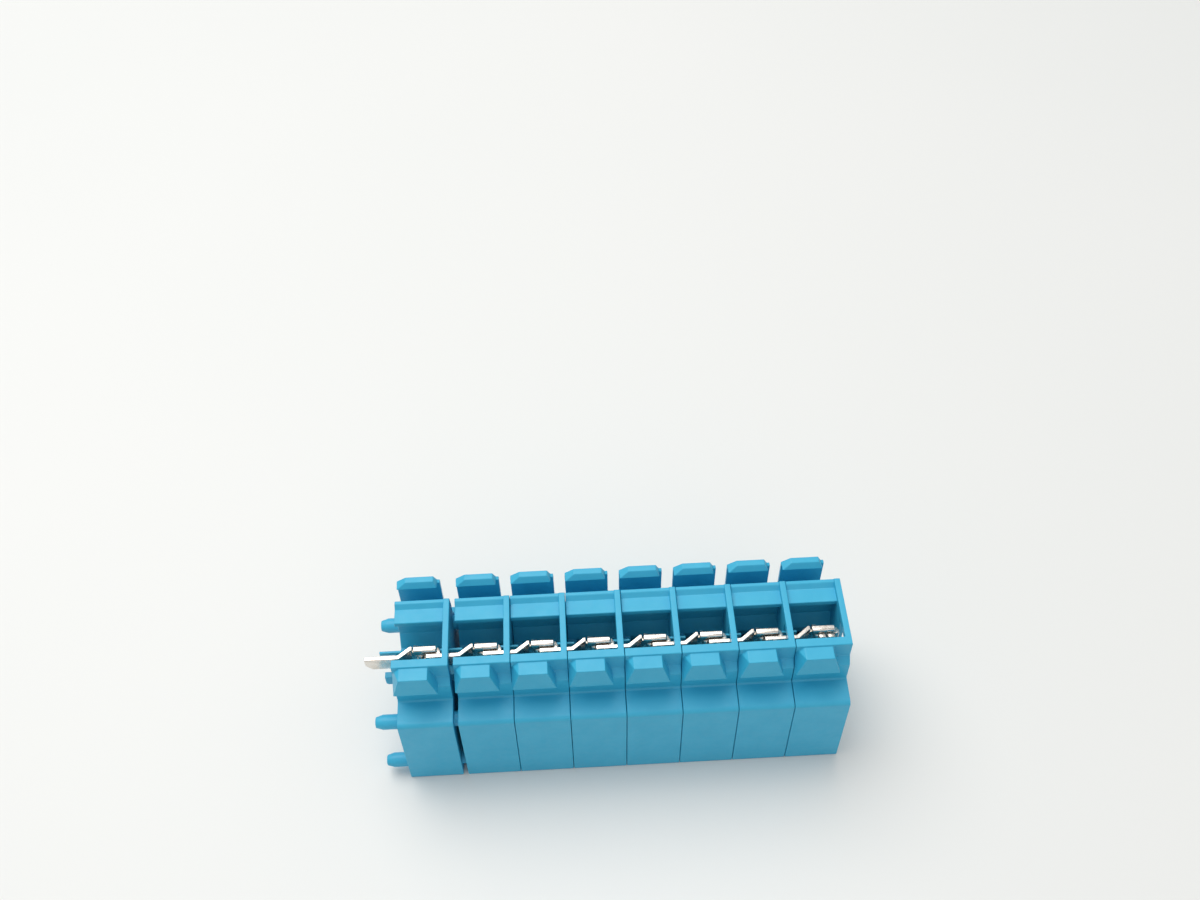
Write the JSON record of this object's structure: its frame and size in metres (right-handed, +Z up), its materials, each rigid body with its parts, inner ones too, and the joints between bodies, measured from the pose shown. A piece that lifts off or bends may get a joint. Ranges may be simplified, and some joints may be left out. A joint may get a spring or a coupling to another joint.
{
  "type": "din rail terminal block",
  "caption": "Strip of snap-together rail terminal modules: blue open-topped housings with side pegs, latch teeth and bus contacts that plug one into the next.",
  "frame": {"origin": "middle of the underside of the whole strip's bounding box", "axes": "+X along the strip from the free pegs to the closed end, +Y to the rear, +Z up"},
  "size_m": [0.0856, 0.025, 0.0307],
  "materials": {
    "housing_plastic": "satin moulded blue polyamide",
    "contact_tinned": "bright tin plate over brass sheet",
    "spring_steel": "plain stainless spring strip"
  },
  "bodies": {
    "module_1": {"housing_1": "housing_plastic", "contact_1": "contact_tinned", "clamp_spring_1": "spring_steel"},
    "leg_1": {"clamp_leg_1": "spring_steel"},
    "module_2": {"housing_2": "housing_plastic", "contact_2": "contact_tinned", "clamp_spring_2": "spring_steel"},
    "leg_2": {"clamp_leg_2": "spring_steel"},
    "module_3": {"housing_3": "housing_plastic", "contact_3": "contact_tinned", "clamp_spring_3": "spring_steel"},
    "leg_3": {"clamp_leg_3": "spring_steel"},
    "module_4": {"housing_4": "housing_plastic", "contact_4": "contact_tinned", "clamp_spring_4": "spring_steel"},
    "leg_4": {"clamp_leg_4": "spring_steel"},
    "module_5": {"housing_5": "housing_plastic", "contact_5": "contact_tinned", "clamp_spring_5": "spring_steel"},
    "leg_5": {"clamp_leg_5": "spring_steel"},
    "module_6": {"housing_6": "housing_plastic", "contact_6": "contact_tinned", "clamp_spring_6": "spring_steel"},
    "leg_6": {"clamp_leg_6": "spring_steel"},
    "module_7": {"housing_7": "housing_plastic", "contact_7": "contact_tinned", "clamp_spring_7": "spring_steel"},
    "leg_7": {"clamp_leg_7": "spring_steel"},
    "module_8": {"housing_8": "housing_plastic", "contact_8": "contact_tinned", "clamp_spring_8": "spring_steel"},
    "leg_8": {"clamp_leg_8": "spring_steel"}
  },
  "joints": [
    {"name": "unplug_7", "type": "slide", "parent": "module_8", "child": "module_7", "axis": [-1, 0, 0], "range_m": [0, 0.006]},
    {"name": "unplug_6", "type": "slide", "parent": "module_7", "child": "module_6", "axis": [-1, 0, 0], "range_m": [0, 0.006]},
    {"name": "unplug_5", "type": "slide", "parent": "module_6", "child": "module_5", "axis": [-1, 0, 0], "range_m": [0, 0.006]},
    {"name": "unplug_4", "type": "slide", "parent": "module_5", "child": "module_4", "axis": [-1, 0, 0], "range_m": [0, 0.006]},
    {"name": "unplug_3", "type": "slide", "parent": "module_4", "child": "module_3", "axis": [-1, 0, 0], "range_m": [0, 0.006]},
    {"name": "unplug_2", "type": "slide", "parent": "module_3", "child": "module_2", "axis": [-1, 0, 0], "range_m": [0, 0.006]},
    {"name": "unplug_1", "type": "slide", "parent": "module_2", "child": "module_1", "axis": [-1, 0, 0], "range_m": [-0.0008, 0.0052]},
    {"name": "leg_bend_1", "type": "hinge", "parent": "module_1", "child": "leg_1", "pos_m": [-0.0321, 0.00375, 0.0147], "axis": [1, 0, 0], "range_deg": [0, 30], "stiffness_Nm_per_rad": 0.1, "springref_deg": -11.46},
    {"name": "leg_bend_2", "type": "hinge", "parent": "module_2", "child": "leg_2", "pos_m": [-0.0213, 0.00375, 0.0147], "axis": [1, 0, 0], "range_deg": [0, 30], "stiffness_Nm_per_rad": 0.1, "springref_deg": -11.46},
    {"name": "leg_bend_3", "type": "hinge", "parent": "module_3", "child": "leg_3", "pos_m": [-0.0113, 0.00375, 0.0147], "axis": [1, 0, 0], "range_deg": [0, 30], "stiffness_Nm_per_rad": 0.1, "springref_deg": -11.46},
    {"name": "leg_bend_4", "type": "hinge", "parent": "module_4", "child": "leg_4", "pos_m": [-0.0013, 0.00375, 0.0147], "axis": [1, 0, 0], "range_deg": [0, 30], "stiffness_Nm_per_rad": 0.1, "springref_deg": -11.46},
    {"name": "leg_bend_5", "type": "hinge", "parent": "module_5", "child": "leg_5", "pos_m": [0.0087, 0.00375, 0.0147], "axis": [1, 0, 0], "range_deg": [0, 30], "stiffness_Nm_per_rad": 0.1, "springref_deg": -11.46},
    {"name": "leg_bend_6", "type": "hinge", "parent": "module_6", "child": "leg_6", "pos_m": [0.0187, 0.00375, 0.0147], "axis": [1, 0, 0], "range_deg": [0, 30], "stiffness_Nm_per_rad": 0.1, "springref_deg": -11.46},
    {"name": "leg_bend_7", "type": "hinge", "parent": "module_7", "child": "leg_7", "pos_m": [0.0287, 0.00375, 0.0147], "axis": [1, 0, 0], "range_deg": [0, 30], "stiffness_Nm_per_rad": 0.1, "springref_deg": -11.46},
    {"name": "leg_bend_8", "type": "hinge", "parent": "module_8", "child": "leg_8", "pos_m": [0.0387, 0.00375, 0.0147], "axis": [1, 0, 0], "range_deg": [0, 30], "stiffness_Nm_per_rad": 0.1, "springref_deg": -11.46}
  ]
}
